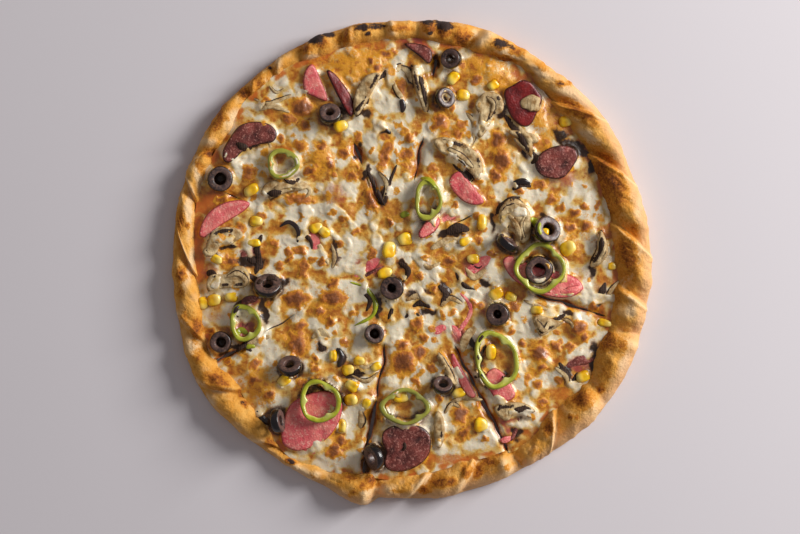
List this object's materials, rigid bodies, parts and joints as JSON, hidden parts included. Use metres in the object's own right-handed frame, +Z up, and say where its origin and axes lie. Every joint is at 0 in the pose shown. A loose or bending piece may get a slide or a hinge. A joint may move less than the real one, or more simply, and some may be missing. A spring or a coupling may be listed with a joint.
{
  "type": "whole sliced pizza",
  "caption": "Round thin pizza with a folded rim, cut into slices, topped with melted cheese, olive and pepper rings, ham, salami, mushrooms and sweetcorn.",
  "frame": {"origin": "middle of the underside, on the surface that the pizza lies on", "axes": "+Z up through the toppings, +Y towards the top of the picture, +X to its right"},
  "size_m": [0.3, 0.3033, 0.0253],
  "materials": {
    "dough": "baked dough, dry and matt, toasted on the high spots",
    "cheese": "melted cheese, soft gloss, browned where it bubbled",
    "ham": "moist cooked ham",
    "salami": "baked salami, oily",
    "mushroom": "dried baked mushroom, matt",
    "pepper": "green pepper with a waxy skin",
    "olive": "black olive, wet skin and duller cut faces"
  },
  "bodies": {
    "root": {"dough": "dough", "cheese_1": "cheese", "cheese_2": "cheese", "cheese_3": "cheese", "cheese_4": "cheese", "cheese_5": "cheese", "cheese_6": "cheese", "cheese_7": "cheese", "cheese_8": "cheese", "ham_1": "ham", "ham_2": "ham", "ham_3": "ham", "ham_4": "ham", "ham_5": "ham", "ham_6": "ham", "ham_7": "ham", "ham_8": "ham", "salami_1": "salami", "salami_2": "salami", "salami_3": "salami", "salami_4": "salami", "salami_5": "salami", "salami_6": "salami", "mushroom_1": "mushroom", "mushroom_2": "mushroom", "mushroom_3": "mushroom", "mushroom_4": "mushroom", "mushroom_5": "mushroom", "mushroom_6": "mushroom", "mushroom_7": "mushroom", "mushroom_8": "mushroom", "mushroom_9": "mushroom", "mushroom_10": "mushroom", "mushroom_11": "mushroom", "mushroom_12": "mushroom", "mushroom_13": "mushroom", "mushroom_14": "mushroom", "pepper_ring_1": "pepper", "pepper_ring_2": "pepper", "pepper_ring_3": "pepper", "pepper_ring_4": "pepper", "pepper_ring_5": "pepper", "pepper_ring_6": "pepper", "pepper_ring_7": "pepper", "olive_1": "olive", "olive_2": "olive", "olive_3": "olive", "olive_4": "olive", "olive_5": "olive", "olive_6": "olive", "olive_7": "olive", "olive_8": "olive", "olive_9": "olive", "olive_10": "olive", "olive_11": "olive", "olive_12": "olive", "olive_13": "olive", "olive_14": "olive", "olive_15": "olive", "olive_16": "olive"}
  },
  "joints": []
}
